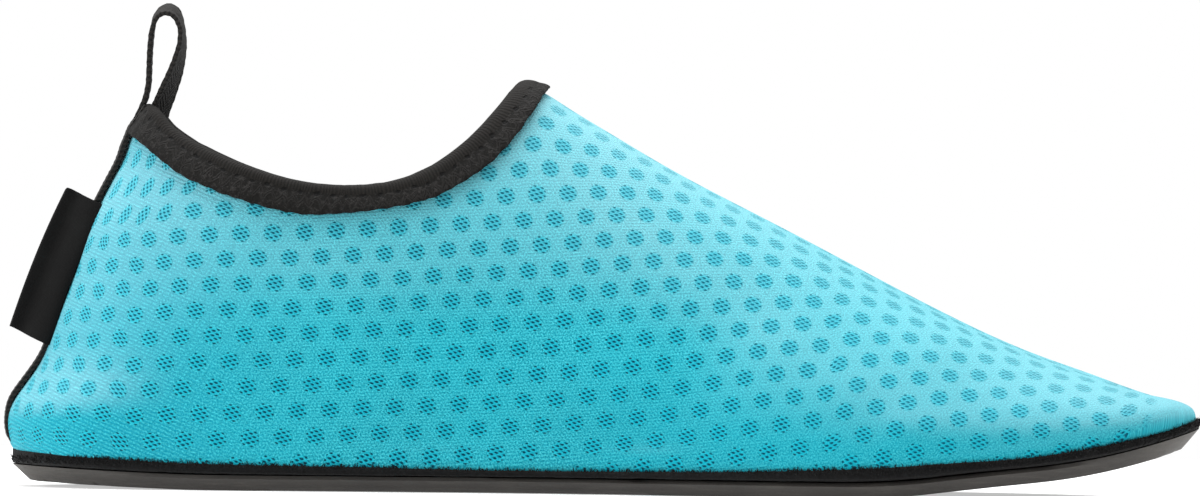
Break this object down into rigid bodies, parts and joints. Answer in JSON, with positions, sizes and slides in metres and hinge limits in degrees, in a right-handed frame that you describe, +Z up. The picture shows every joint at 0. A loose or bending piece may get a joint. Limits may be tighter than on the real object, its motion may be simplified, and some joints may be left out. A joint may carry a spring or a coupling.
{
  "type": "water shoe",
  "caption": "Slip-on water shoe with a turquoise knit upper, black folded collar binding, heel pull loop, folded heel tab and thin dark rubber sole.",
  "frame": {"origin": "on the floor under the middle of the shoe's box", "axes": "+X towards the toe, +Y towards the outer (little toe) side, +Z up"},
  "size_m": [0.2654, 0.094, 0.108],
  "materials": {
    "sole_rubber": "matt dark grey moulded rubber",
    "black_felt": "fuzzy black felt-like fabric",
    "turquoise_knit": "turquoise spacer knit with a staggered pattern of small hole clusters",
    "insole_foam": "black cloth-faced foam",
    "black_elastic": "soft folded black elastic with stitch rows",
    "black_webbing": "black herringbone webbing",
    "black_tab_cloth": "plain tightly woven black cloth, bare"
  },
  "bodies": {
    "root": {"outsole": "sole_rubber", "sock_bottom": "black_felt", "upper": "turquoise_knit", "insole": "insole_foam", "collar_binding": "black_elastic", "heel_tape": "black_webbing", "pull_loop": "black_webbing", "heel_tab": "black_tab_cloth"}
  },
  "joints": []
}
